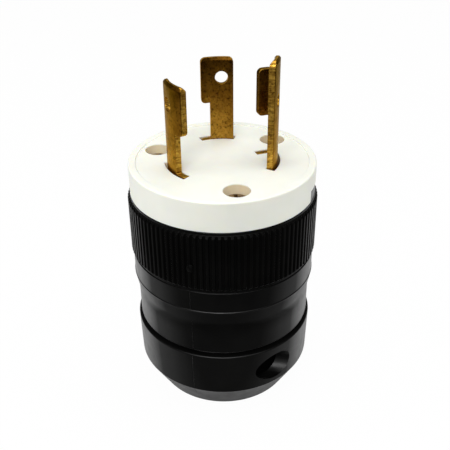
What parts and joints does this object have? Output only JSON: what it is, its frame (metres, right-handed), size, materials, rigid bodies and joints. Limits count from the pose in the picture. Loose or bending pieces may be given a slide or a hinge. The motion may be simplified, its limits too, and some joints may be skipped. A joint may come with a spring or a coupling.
{
  "type": "locking power plug",
  "caption": "Round locking power plug: white front with hooked brass blades, black ribbed housing with a groove, and a rear collar that hides a cord clamp.",
  "frame": {"origin": "centre of the flat cord end, which is the face the plug stands on", "axes": "+Z along the plug's axis towards the blade tips; +X and +Y across it, with the middle blade towards +Y and the ground blade towards +X"},
  "size_m": [0.0494, 0.0494, 0.0934],
  "materials": {
    "white_nylon": "moulded, slightly satin",
    "black_nylon": "moulded, satin to semi-gloss",
    "carrier_plastic": "matte thermoset moulding",
    "blade_brass": "stamped, lightly tarnished",
    "screw_brass": "dull, darkened",
    "terminal_brass": "plain",
    "nickel": "nickel-plated",
    "green_screw": "green earth-terminal coating",
    "zinc_steel": "zinc-plated",
    "shield_rubber": "soft, matte"
  },
  "bodies": {
    "root": {"face": "white_nylon", "hot_blade": "blade_brass", "neutral_blade": "blade_brass", "ground_blade": "blade_brass", "blade_carrier": "carrier_plastic", "carrier_screw": "zinc_steel", "housing": "black_nylon", "face_screws": "screw_brass", "housing_inserts": "terminal_brass", "hot_terminal_screw": "terminal_brass", "neutral_terminal_screw": "nickel", "ground_terminal_screw": "green_screw", "hot_wire_plate": "terminal_brass", "neutral_wire_plate": "nickel", "ground_wire_plate": "terminal_brass", "fixed_cord_jaw": "black_nylon", "moving_cord_jaw": "black_nylon", "clamp_screws": "zinc_steel", "clamp_nuts": "zinc_steel", "dust_shield": "shield_rubber"}
  },
  "joints": []
}
